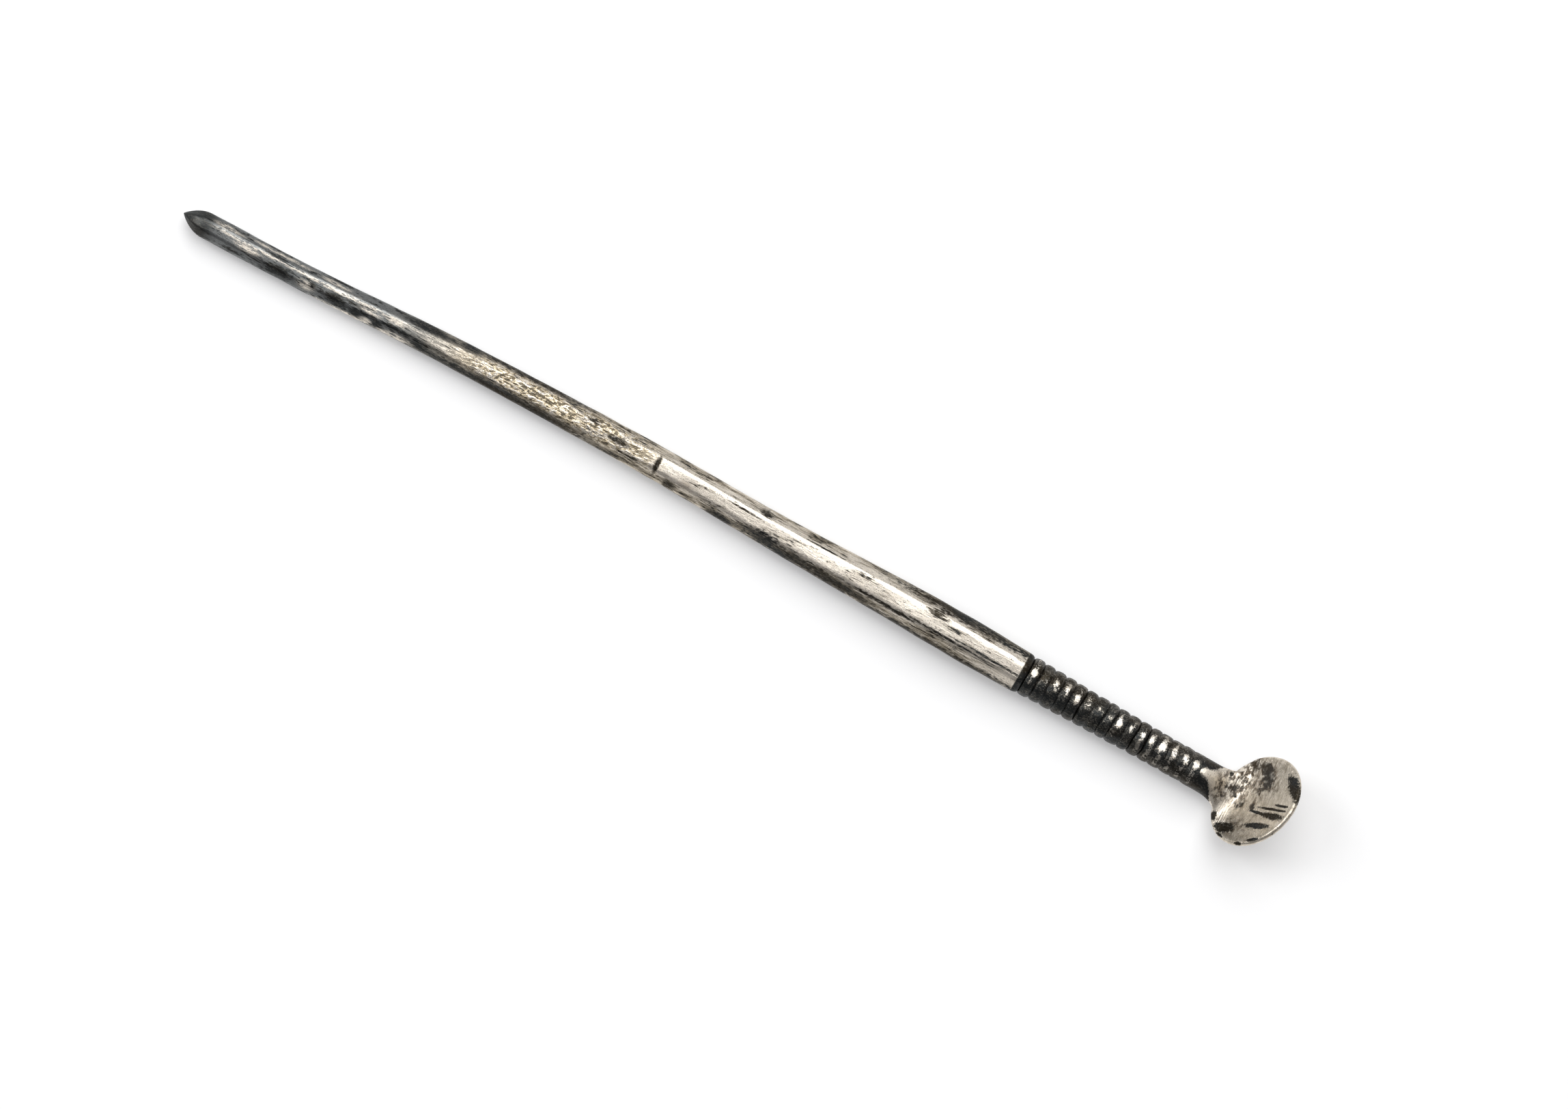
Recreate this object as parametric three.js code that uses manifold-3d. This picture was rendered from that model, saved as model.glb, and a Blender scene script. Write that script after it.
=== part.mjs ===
// Silver ear spoon: a tapering hammered shank with a blunt point at one end, and at the other a
// ring-cut neck that flattens into a fan and carries a small tilted disc, the scoop.
// Millimetres, +Z up. +X runs from the point to the scoop and +Y is the shank's bowed side.
// The shank rests on its lowest hammered facet.

import * as THREE from 'three';
import Module from 'manifold-3d';

// Point
const POINT_LENGTH = 1.95;

// Shank: the stations give the share of its length, its width there and the sideways bow of its axis
const SHANK_LENGTH = 66.15;
const SHANK_STATIONS = [
  { along: 0.0, width: 1.9, bow: 0.0 },
  { along: 0.12, width: 1.9, bow: 0.12 },
  { along: 0.3, width: 2.15, bow: 0.57 },
  { along: 0.53, width: 2.39, bow: 0.7 },
  { along: 0.7, width: 2.6, bow: 0.46 },
  { along: 0.85, width: 3.03, bow: 0.4 },
  { along: 0.93, width: 3.17, bow: 0.3 },
  { along: 1.0, width: 3.03, bow: 0.19 },
];
const FACETS = 8;
const FACET_FLATNESS = 0.95;
const SHOULDER_LENGTH = 0.5;

// Ringed neck
const RING_COUNT = 16;
const RING_PITCH = 0.88;
const RING_HEIGHT = 0.2;
const SHARP_RINGS = 11;
const WORN_RING_HEIGHT = 0.05;
const NECK_START_WIDTH = 2.97;
const NECK_END_WIDTH = 2.48;
const NECK_RISE = 0.09;
const NECK_END_BOW = 0.02;

// Fan between the neck and the disc
const FAN_WIDTH = 5.3;
const FAN_SHIFT = -0.4;
const FAN_EDGE_THICKNESS = 0.2;
const FAN_REACH_UNDER_DISC = 0.6;

// Disc of the scoop, placed from the end of the neck's axis
const DISC_REACH = 4.32;
const DISC_RISE = 1.58;
const DISC_OFFSET = 0.21;
const DISC_TILT = 47;
const DISC_TURN = -8;
const DISC_LONG = 7.5;
const DISC_SHORT = 6.65;
const DISC_LONG_BEARING = 60;
const DISC_THICKNESS = 0.42;
const DISC_DISH = 0.35;
const DISC_LIP = 0.3;
const RIM_ROUND = 0.13;

// Number of points round a section and round the disc, and of sections along each stretch
const SECTION_POINTS = 24;
const DISC_POINTS = 56;
const SHANK_SECTIONS = 40;
const POINT_SECTIONS = 6;
const SHOULDER_SECTIONS = 4;
const FAN_SECTIONS = 16;
const RING_STEPS = [0, 0.08, 0.27, 0.5, 0.73, 0.92];

const SIDE = new THREE.Vector3(0, 1, 0);
const UP = new THREE.Vector3(0, 0, 1);
const ALONG = new THREE.Vector3(1, 0, 0);

// A closed section of the bar: facets whose corners are rounded off where the flatness is below 1
function section(centre, side, up, halfWidth, halfHeight, flatness) {
  const facetAngle = (2 * Math.PI) / FACETS;
  const ring = [];
  for (let i = 0; i < SECTION_POINTS; i += 1) {
    const angle = (2 * Math.PI * i) / SECTION_POINTS;
    const fromFacet = angle - Math.round(angle / facetAngle) * facetAngle;
    const reach = Math.min(1 / Math.cos(fromFacet), 1 / flatness);
    const point = centre.clone();
    point.addScaledVector(side, halfWidth * reach * Math.cos(angle));
    point.addScaledVector(up, halfHeight * reach * Math.sin(angle));
    ring.push(point);
  }
  return ring;
}

// A closed solid through a row of rings, with a fan of triangles to a middle point at each end
function loft(rings, startMiddle, endMiddle) {
  const count = rings[0].length;
  const points = [startMiddle, ...rings.flat(), endMiddle];
  const last = points.length - 1;
  const faces = [];
  for (let j = 0; j < count; j += 1) {
    const next = (j + 1) % count;
    faces.push(0, 1 + next, 1 + j);
    for (let i = 0; i < rings.length - 1; i += 1) {
      const here = 1 + i * count;
      const ahead = here + count;
      faces.push(here + j, here + next, ahead + j);
      faces.push(here + next, ahead + next, ahead + j);
    }
    faces.push(last, last - count + j, last - count + next);
  }
  const geometry = new THREE.BufferGeometry().setFromPoints(points);
  geometry.setIndex(faces);
  geometry.computeVertexNormals();
  return geometry;
}

const wasm = await Module();
wasm.setup();

function toSolid(geometry) {
  const vertProperties = new Float32Array(geometry.attributes.position.array);
  const triVerts = new Uint32Array(geometry.index.array);
  return new wasm.Manifold(new wasm.Mesh({ numProp: 3, vertProperties, triVerts }));
}

function toGeometry(solid) {
  const mesh = solid.getMesh();
  const geometry = new THREE.BufferGeometry();
  geometry.setAttribute('position', new THREE.BufferAttribute(mesh.vertProperties, 3));
  geometry.setIndex(new THREE.BufferAttribute(mesh.triVerts, 1));
  geometry.computeVertexNormals();
  return geometry;
}

// Axis of the shank. Its height over the ground is half the width, so the lowest facet lies flat.
const shankAxis = new THREE.CatmullRomCurve3(
  SHANK_STATIONS.map(({ along, width, bow }) => (
    new THREE.Vector3(POINT_LENGTH + along * SHANK_LENGTH, bow, width / 2)
  )),
);

// A section of the shank in a plane square to X, at a share of the axis
function shankSection(share) {
  const centre = shankAxis.getPoint(share);
  return section(centre, SIDE, UP, centre.z, centre.z, FACET_FLATNESS);
}

// The point swells as a quarter of a sine wave from its tip to the shank's first section
function pointGeometry() {
  const base = shankAxis.getPoint(0);
  const tip = new THREE.Vector3(0, base.y, base.z);
  const rings = [];
  for (let i = 1; i < POINT_SECTIONS; i += 1) {
    const share = i / POINT_SECTIONS;
    const radius = base.z * Math.sin((share * Math.PI) / 2);
    rings.push(section(tip.clone().lerp(base, share), SIDE, UP, radius, radius, FACET_FLATNESS));
  }
  rings.push(shankSection(0));
  return loft(rings, tip, base);
}

// Axis and crest radius of the neck, by the share of its length
const shankEnd = shankAxis.getPoint(1);
const neckStart = new THREE.Vector3(shankEnd.x + SHOULDER_LENGTH, shankEnd.y, shankEnd.z);
const neckEnd = new THREE.Vector3(
  neckStart.x + RING_COUNT * RING_PITCH,
  NECK_END_BOW,
  shankEnd.z + NECK_RISE,
);

// A section of the neck: round, as wide as the crests less the depth of the ring there
function neckSection(ring, step) {
  const place = ring + step;
  const share = place / RING_COUNT;
  const crest = THREE.MathUtils.lerp(NECK_END_WIDTH, NECK_START_WIDTH, (1 - share) ** 2) / 2;
  const wear = THREE.MathUtils.clamp((place - SHARP_RINGS) / (RING_COUNT - SHARP_RINGS), 0, 1);
  const height = THREE.MathUtils.lerp(RING_HEIGHT, WORN_RING_HEIGHT, wear);
  const swell = Math.sqrt(1 - (2 * step - 1) ** 2);
  const radius = crest - height * (1 - swell);
  return section(neckStart.clone().lerp(neckEnd, share), SIDE, UP, radius, radius, 1);
}

// The shank, with the shoulder that rounds down to the first groove of the neck
function shankGeometry() {
  const rings = [];
  for (let i = 0; i <= SHANK_SECTIONS; i += 1) {
    rings.push(shankSection(i / SHANK_SECTIONS));
  }
  const full = shankSection(1);
  const groove = neckSection(0, 0);
  for (let i = 1; i < SHOULDER_SECTIONS; i += 1) {
    const share = i / SHOULDER_SECTIONS;
    const drop = 1 - Math.sqrt(1 - share ** 2);
    rings.push(full.map((point, j) => {
      const moved = point.clone().lerp(groove[j], drop);
      moved.x = THREE.MathUtils.lerp(shankEnd.x, neckStart.x, share);
      return moved;
    }));
  }
  rings.push(groove);
  return loft(rings, shankAxis.getPoint(0), neckStart);
}

function neckGeometry() {
  const rings = [];
  for (let ring = 0; ring < RING_COUNT; ring += 1) {
    RING_STEPS.forEach((step) => rings.push(neckSection(ring, step)));
  }
  rings.push(neckSection(RING_COUNT, 0));
  return loft(rings, neckStart, neckEnd);
}

// Frame of the disc: far and across lie in its face, and facing is square to the face
const tilt = THREE.MathUtils.degToRad(DISC_TILT);
const turn = THREE.MathUtils.degToRad(DISC_TURN);
const across = new THREE.Vector3(-Math.sin(turn), Math.cos(turn), 0);
const far = new THREE.Vector3(
  Math.cos(tilt) * Math.cos(turn),
  Math.cos(tilt) * Math.sin(turn),
  Math.sin(tilt),
);
const facing = far.clone().cross(across);
const discCentre = neckEnd.clone().add(new THREE.Vector3(DISC_REACH, DISC_OFFSET, DISC_RISE));

function onDisc(alongFar, alongAcross, height) {
  const point = discCentre.clone();
  point.addScaledVector(far, alongFar);
  point.addScaledVector(across, alongAcross);
  point.addScaledVector(facing, height);
  return point;
}

// Radius of the oval rim at an angle from the far direction
function rimRadius(angle) {
  const fromLong = angle - THREE.MathUtils.degToRad(DISC_LONG_BEARING);
  const long = DISC_LONG / 2;
  const short = DISC_SHORT / 2;
  return (long * short) / Math.hypot(short * Math.cos(fromLong), long * Math.sin(fromLong));
}

function discRing(inset, share, height) {
  const ring = [];
  for (let i = 0; i < DISC_POINTS; i += 1) {
    const angle = (-2 * Math.PI * i) / DISC_POINTS;
    const radius = (rimRadius(angle) - inset) * share;
    ring.push(onDisc(radius * Math.cos(angle), radius * Math.sin(angle), height));
  }
  return ring;
}

// The disc: a dished face inside a flat lip, a rounded rim, and a back that swells as the face dips
function discGeometry() {
  const rings = [];
  const dishShares = [0.3, 0.55, 0.75, 0.9];
  dishShares.forEach((share) => {
    rings.push(discRing(DISC_LIP, share, -DISC_DISH * (1 - share ** 2)));
  });
  rings.push(discRing(DISC_LIP, 1, 0));
  rings.push(discRing(RIM_ROUND, 1, 0));
  rings.push(discRing(0, 1, -RIM_ROUND));
  rings.push(discRing(0, 1, RIM_ROUND - DISC_THICKNESS));
  rings.push(discRing(RIM_ROUND, 1, -DISC_THICKNESS));
  dishShares.toReversed().forEach((share) => {
    rings.push(discRing(DISC_LIP, share, -DISC_THICKNESS - DISC_DISH * (1 - share ** 2)));
  });
  return loft(rings, onDisc(0, 0, -DISC_DISH), onDisc(0, 0, -DISC_THICKNESS - DISC_DISH));
}

// The fan: the neck's round end flattens and widens along a path that turns up into the disc
function fanGeometry() {
  const end = onDisc(-FAN_REACH_UNDER_DISC, FAN_SHIFT, -DISC_DISH - DISC_THICKNESS / 2);
  const pull = DISC_REACH * 0.42;
  const path = new THREE.CubicBezierCurve3(
    neckEnd,
    neckEnd.clone().addScaledVector(ALONG, pull),
    end.clone().addScaledVector(far, -pull),
    end,
  );
  const rings = [neckSection(RING_COUNT, 0)];
  const startRadius = NECK_END_WIDTH / 2;
  for (let i = 1; i <= FAN_SECTIONS; i += 1) {
    const share = i / FAN_SECTIONS;
    const tangent = path.getTangent(share);
    const side = SIDE.clone().lerp(across, share);
    side.addScaledVector(tangent, -side.dot(tangent)).normalize();
    const up = tangent.clone().cross(side);
    const widening = THREE.MathUtils.smoothstep(share, 0.3, 0.85);
    const thinning = THREE.MathUtils.smoothstep(share, -0.1, 0.75);
    const halfWidth = THREE.MathUtils.lerp(startRadius, FAN_WIDTH / 2, widening);
    const halfHeight = THREE.MathUtils.lerp(startRadius, FAN_EDGE_THICKNESS / 2, thinning);
    rings.push(section(path.getPoint(share), side, up, halfWidth, halfHeight, 1));
  }
  return loft(rings, neckEnd, end);
}

function scoopGeometry() {
  return toGeometry(toSolid(discGeometry()).add(toSolid(fanGeometry())));
}

const bareSilver = { color: 0xc8bead, roughness: 0.32, metalness: 1 };
const tarnishedSilver = { color: 0x6c6c66, roughness: 0.45, metalness: 1 };
const blackenedSilver = { color: 0x2c2b24, roughness: 0.55, metalness: 0.9 };
const wornSilver = { color: 0xa39a88, roughness: 0.4, metalness: 1 };

function piece(name, geometry, look) {
  const mesh = new THREE.Mesh(geometry, new THREE.MeshStandardMaterial(look));
  mesh.name = name;
  return mesh;
}

const earSpoon = new THREE.Group();
earSpoon.name = 'ear_spoon';
earSpoon.add(piece('point', pointGeometry(), tarnishedSilver));
earSpoon.add(piece('shank', shankGeometry(), bareSilver));
earSpoon.add(piece('ringed_neck', neckGeometry(), blackenedSilver));
earSpoon.add(piece('scoop', scoopGeometry(), wornSilver));

// The origin is on the ground under the middle of the whole object
const extent = new THREE.Box3().setFromObject(earSpoon);
const middle = extent.getCenter(new THREE.Vector3());
earSpoon.position.set(-middle.x, -middle.y, -extent.min.z);

export default earSpoon;
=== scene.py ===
import math

import bmesh
import bpy
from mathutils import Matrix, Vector, noise


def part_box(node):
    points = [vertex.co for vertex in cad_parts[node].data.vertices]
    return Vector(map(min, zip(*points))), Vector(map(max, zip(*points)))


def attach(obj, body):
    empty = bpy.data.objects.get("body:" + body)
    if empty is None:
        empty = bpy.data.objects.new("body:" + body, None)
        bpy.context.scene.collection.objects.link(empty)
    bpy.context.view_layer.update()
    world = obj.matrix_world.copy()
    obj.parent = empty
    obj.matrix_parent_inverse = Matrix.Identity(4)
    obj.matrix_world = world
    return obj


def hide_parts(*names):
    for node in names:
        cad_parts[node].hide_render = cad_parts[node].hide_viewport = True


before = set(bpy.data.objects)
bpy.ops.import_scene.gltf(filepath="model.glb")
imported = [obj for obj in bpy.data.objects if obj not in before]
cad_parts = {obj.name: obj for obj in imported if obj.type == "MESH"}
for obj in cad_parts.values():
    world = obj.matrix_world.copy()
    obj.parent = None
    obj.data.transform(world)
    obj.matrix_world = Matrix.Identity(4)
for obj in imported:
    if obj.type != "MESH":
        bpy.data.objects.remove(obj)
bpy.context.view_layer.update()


# Shank
# The long bar of the spoon: one rod of silver, hammered to eight flats and tapered towards the
# point. The flats are rubbed bright on top, with a painted highlight line along the top and painted
# reflection flecks on the lower edge. Tarnish stays in scratches, and a film darkens the flanks and
# the underside, partly tarnish and partly painted shade.

MM = 0.001
TIP = Vector((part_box("point")[0].x, sum(corner.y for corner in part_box("point")) / 2, 0))
SHANK_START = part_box("shank")[0].x
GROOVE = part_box("shank")[1].x
SHOULDER = 0.5 * MM
SHANK_END = GROOVE - SHOULDER
SHANK_STATIONS = (
    (0.0, 1.9, 0.0),
    (0.12, 1.9, 0.12),
    (0.3, 2.15, 0.57),
    (0.53, 2.39, 0.7),
    (0.7, 2.6, 0.46),
    (0.85, 3.03, 0.4),
    (0.93, 3.17, 0.3),
    (1.0, 3.03, 0.19),
)
FLAT = math.radians(45)
FLATNESS = 0.95
GIRTH_POINTS = 96
SHANK_STEP = 0.11 * MM
# Marks and stretches of colour are in plain millimetres, and their places along are from the tip.
HAMMER_MARK = 1.8
HAMMER_DEPTH = 0.026
CRINKLED = (21.0, 26.0, 36.0, 40.0)
CRINKLE_DEPTH = 0.02
CRINKLE_SLANT = 1.6
NICK_PLACE = 38.35
NICK_HALF_WIDTH = 0.17
NICK_DEPTH = 0.07
CORNER_BLEND = 0.02
SHOULDER_STEPS = 8
SILVER = (0.85, 0.775, 0.67, 1)
GOLDEN_SILVER = (0.72, 0.56, 0.31, 1)
GREY_FILM = (0.19, 0.197, 0.195, 1)
WARM_FILM = (0.35, 0.30, 0.225, 1)
BROWN_BLACK = (0.032, 0.026, 0.018, 1)
BLUE_BLACK = (0.03, 0.032, 0.032, 1)
BLACK_SHEEN = (0.085, 0.08, 0.07, 1)
BROWN_STAIN = (0.19, 0.14, 0.095, 1)
GREY_STRETCH = (27.0, 15.0)
FILMED_STRETCH = (26.0, 18.0)
POINT_END = (3.2, 1.8)
GOLDEN_STRETCH = (20.0, 25.0, 36.0, 39.5)
RELIEF_DEPTH = 0.03 * MM


def smooth_between(value, low, high):
    share = min(max((value - low) / (high - low), 0), 1)
    return share * share * (3 - 2 * share)


def station_value(share, column):
    """A width or a bow in metres, on a smooth curve through the stations."""
    last = len(SHANK_STATIONS) - 1
    i = 0
    while i < last - 1 and share > SHANK_STATIONS[i + 1][0]:
        i += 1

    def slope(k):
        before = SHANK_STATIONS[max(k - 1, 0)]
        after = SHANK_STATIONS[min(k + 1, last)]
        return (after[column] - before[column]) / (after[0] - before[0])

    here = SHANK_STATIONS[i]
    there = SHANK_STATIONS[i + 1]
    span = there[0] - here[0]
    t = (share - here[0]) / span
    value = (2 * t**3 - 3 * t**2 + 1) * here[column]
    value += (t**3 - 2 * t**2 + t) * span * slope(i)
    value += (3 * t**2 - 2 * t**3) * there[column]
    value += (t**3 - t**2) * span * slope(i + 1)
    return value * MM


def shank_axis(x):
    """Middle of the shank at x. Its height is half the width, so the lowest flat is on the ground."""
    share = (x - SHANK_START) / (SHANK_END - SHANK_START)
    return Vector((x, TIP.y + station_value(share, 2), station_value(share, 1) / 2))


def flat_reach(angle, flatness):
    """How far the hammered section reaches at an angle, for a half width of 1."""
    from_flat = angle - round(angle / FLAT) * FLAT
    corner = 1 / flatness
    flat = 1 / math.cos(from_flat)
    half_gap = (corner - flat) / 2
    rounded = math.sqrt(half_gap**2 + CORNER_BLEND**2 / 4)
    return (corner + flat) / 2 - rounded + CORNER_BLEND / 4


def hammered(x, direction):
    """How far the worked skin stands out at x, by hammer marks, crinkles and the nick on top."""
    along = (x - TIP.x) / MM
    out = HAMMER_DEPTH * noise.noise(Vector((along / HAMMER_MARK, direction.y, direction.z)))
    start, full, fading, end = CRINKLED
    if start < along < end:
        amount = smooth_between(along, start, full) - smooth_between(along, fading, end)
        fold = Vector((along * 1.1 + CRINKLE_SLANT * direction.y, direction.y * 5, direction.z * 5))
        ridge = abs(noise.noise(fold) + noise.noise(fold * 2.3) / 2)
        out += CRINKLE_DEPTH * amount * (0.35 - ridge)
    if abs(along - NICK_PLACE) < 4 * NICK_HALF_WIDTH:
        groove = math.exp(-(((along - NICK_PLACE) / NICK_HALF_WIDTH) ** 2))
        groove *= 1 - smooth_between(direction.y, 0.25, 0.5)
        out -= NICK_DEPTH * groove * smooth_between(direction.z, 0.2, 0.6)
    underside = smooth_between(-direction.z, 0.8, 1.0)
    return out * (1 - underside) * MM


def girth_ring(middle, radius, flatness, worked=0.0):
    """A closed section in a plane square to X."""
    ring = []
    for i in range(GIRTH_POINTS):
        angle = 2 * math.pi * i / GIRTH_POINTS
        direction = Vector((0, math.cos(angle), math.sin(angle)))
        reach = radius * flat_reach(angle, flatness)
        if worked:
            reach += worked * hammered(middle.x, direction)
        ring.append(middle + direction * reach)
    return ring


def closed_loft(name, rings, first, last):
    """A closed mesh through rings of points, with a fan to one point at each end."""
    mesh = bpy.data.meshes.new(name)
    bm = bmesh.new()
    rows = [[bm.verts.new(point) for point in ring] for ring in rings]
    start = bm.verts.new(first)
    end = bm.verts.new(last)
    count = len(rows[0])
    for j in range(count):
        k = (j + 1) % count
        bm.faces.new((start, rows[0][k], rows[0][j]))
        for row, after in zip(rows, rows[1:]):
            bm.faces.new((row[j], row[k], after[k], after[j]))
        bm.faces.new((end, rows[-1][j], rows[-1][k]))
    for face in bm.faces:
        face.smooth = True
    bm.to_mesh(mesh)
    bm.free()
    mesh.set_sharp_from_angle(angle=math.radians(50))
    piece = bpy.data.objects.new(name, mesh)
    bpy.context.scene.collection.objects.link(piece)
    return piece


def mark_girth(mesh, axis_at):
    """Stores how far each vertex lies towards the +Y side of the bar and towards its top, -1 to 1."""
    side = mesh.attributes.new("side", "FLOAT", "POINT")
    top = mesh.attributes.new("top", "FLOAT", "POINT")
    for i, vertex in enumerate(mesh.vertices):
        away = vertex.co - axis_at(vertex.co.x)
        away.x = 0
        if away.length > 1e-9:
            away.normalize()
        side.data[i].value = away.y
        top.data[i].value = away.z


shank_rings = []
shank_steps = round((SHANK_END - SHANK_START) / SHANK_STEP)
for step in range(shank_steps + 1):
    x = SHANK_START + (SHANK_END - SHANK_START) * step / shank_steps
    middle = shank_axis(x)
    shank_rings.append(girth_ring(middle, middle.z, FLATNESS, worked=1.0))
NECK_START_RADIUS = 1.485 * MM
RING_HEIGHT = 0.2 * MM
shank_tip_end = shank_axis(SHANK_END)
for step in range(1, SHOULDER_STEPS + 1):
    share = step / SHOULDER_STEPS
    drop = 1 - math.sqrt(1 - share**2)
    radius = shank_tip_end.z + (NECK_START_RADIUS - RING_HEIGHT - shank_tip_end.z) * drop
    middle = shank_tip_end + Vector((SHOULDER * share, 0, 0))
    shank_rings.append(girth_ring(middle, radius, FLATNESS + (1 - FLATNESS) * drop))
shank = closed_loft("hammered_shank", shank_rings, shank_axis(SHANK_START), middle)
mark_girth(shank.data, lambda x: shank_axis(min(x, SHANK_END)))


class Nodes:
    """Adds nodes to one tree. An input is a plain value or another node's output."""

    def __init__(self, tree):
        self.tree = tree

    def add(self, kind, inputs, output=0, **settings):
        node = self.tree.nodes.new(kind)
        for key, value in settings.items():
            setattr(node, key, value)
        for key, value in inputs.items():
            if isinstance(value, bpy.types.NodeSocket):
                self.tree.links.new(value, node.inputs[key])
            else:
                node.inputs[key].default_value = value
        return node.outputs[output] if node.outputs else node

    def math(self, operation, first, second=0.0, third=0.0):
        return self.add("ShaderNodeMath", {0: first, 1: second, 2: third}, operation=operation)

    def times(self, first, second):
        return self.math("MULTIPLY", first, second)

    def total(self, *values):
        result = values[0]
        for value in values[1:]:
            result = self.math("ADD", result, value)
        return result

    def most(self, *values):
        result = values[0]
        for value in values[1:]:
            result = self.math("MAXIMUM", result, value)
        return result

    def swing(self, cloudy, reach):
        """Noise round 0.5 made noise round 0, with a reach of its own."""
        return self.math("MULTIPLY_ADD", cloudy, reach, -reach / 2)

    def rise(self, value, low, high):
        """0 below low, 1 above high and a smooth step between. Low may be above high."""
        return self.add(
            "ShaderNodeMapRange",
            {"Value": value, "From Min": low, "From Max": high},
            interpolation_type="SMOOTHSTEP",
        )

    def attribute(self, name):
        return self.add("ShaderNodeAttribute", {}, output="Fac", attribute_name=name)

    def blend(self, share, first, second):
        return self.add(
            "ShaderNodeMix", {"Factor": share, 6: first, 7: second}, output=2, data_type="RGBA"
        )

    def from_tip(self):
        """Place on the piece, in millimetres from the spoon's tip."""
        where = self.add("ShaderNodeTexCoord", {}, output="Object")
        centre = (-TIP.x / MM, -TIP.y / MM, 0)
        size = (1 / MM, 1 / MM, 1 / MM)
        return self.add("ShaderNodeMapping", {"Vector": where, "Location": centre, "Scale": size})

    def part(self, where, letter):
        return self.add("ShaderNodeSeparateXYZ", {0: where}, output=letter)

    def cloud(self, where, size, stretch=(1, 1, 1), detail=4.0, shift=(0, 0, 0), turn=0.0):
        """Noise round 0.5 with blotches of a size in millimetres, longer where stretched."""
        if turn:
            where = self.add("ShaderNodeMapping", {"Vector": where, "Rotation": (0, 0, turn)})
        scale = tuple(1 / (size * s) for s in stretch)
        laid = self.add("ShaderNodeMapping", {"Vector": where, "Scale": scale, "Location": shift})
        return self.add("ShaderNodeTexNoise", {"Vector": laid, "Scale": 1.0, "Detail": detail})

    def patch(self, plan, centre, half, ragged, edge=0.45, turn=0.0):
        """A blotch on a plan, from its centre and its half length and half width there."""
        moved = self.add("ShaderNodeVectorMath", {0: plan, 1: centre + (0,)}, operation="SUBTRACT")
        if turn:
            moved = self.add("ShaderNodeMapping", {"Vector": moved, "Rotation": (0, 0, -turn)})
        share = (1 / half[0], 1 / half[1], 0)
        scaled = self.add("ShaderNodeVectorMath", {0: moved, 1: share}, operation="MULTIPLY")
        length = self.add("ShaderNodeVectorMath", {0: scaled}, output="Value", operation="LENGTH")
        return self.rise(self.total(length, ragged), 1 + edge, 1 - edge)


def new_finish(name):
    material = bpy.data.materials.new(name)
    material.use_nodes = True
    material.node_tree.nodes.clear()
    return material, Nodes(material.node_tree)


def finish_silver(nodes, silver, film, dark, brown, relief):
    """Silver under three masks: a thin grey film, black tarnish and brown stain."""
    where = nodes.from_tip()
    broad = nodes.cloud(where, 1.7, (3, 1, 1), shift=(7, 3, 1))
    grain = nodes.cloud(where, 0.11, (1.6, 1, 1), detail=3.0, shift=(6, 8, 2))
    grey_stretch = nodes.rise(nodes.part(where, "X"), *GREY_STRETCH)
    film_colour = nodes.blend(grey_stretch, WARM_FILM, GREY_FILM)
    bluish = nodes.total(nodes.rise(broad, 0.4, 0.6), nodes.times(grey_stretch, 0.5))
    black = nodes.blend(bluish, BROWN_BLACK, BLUE_BLACK)
    black = nodes.blend(nodes.rise(grain, 0.5, 0.7), black, BLACK_SHEEN)
    filmed = nodes.blend(film, silver, film_colour)
    stained = nodes.blend(brown, filmed, BROWN_STAIN)
    colour = nodes.blend(dark, stained, black)
    gloss = nodes.total(
        0.3, nodes.times(dark, 0.1), nodes.times(brown, 0.16), nodes.swing(grain, 0.3)
    )
    bump = nodes.add(
        "ShaderNodeBump", {"Height": relief, "Strength": 1.0, "Distance": RELIEF_DEPTH}
    )
    shader = nodes.add(
        "ShaderNodeBsdfPrincipled",
        {"Base Color": colour, "Metallic": 1.0, "Roughness": gloss, "Normal": bump},
    )
    nodes.add("ShaderNodeOutputMaterial", {"Surface": shader})


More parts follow.
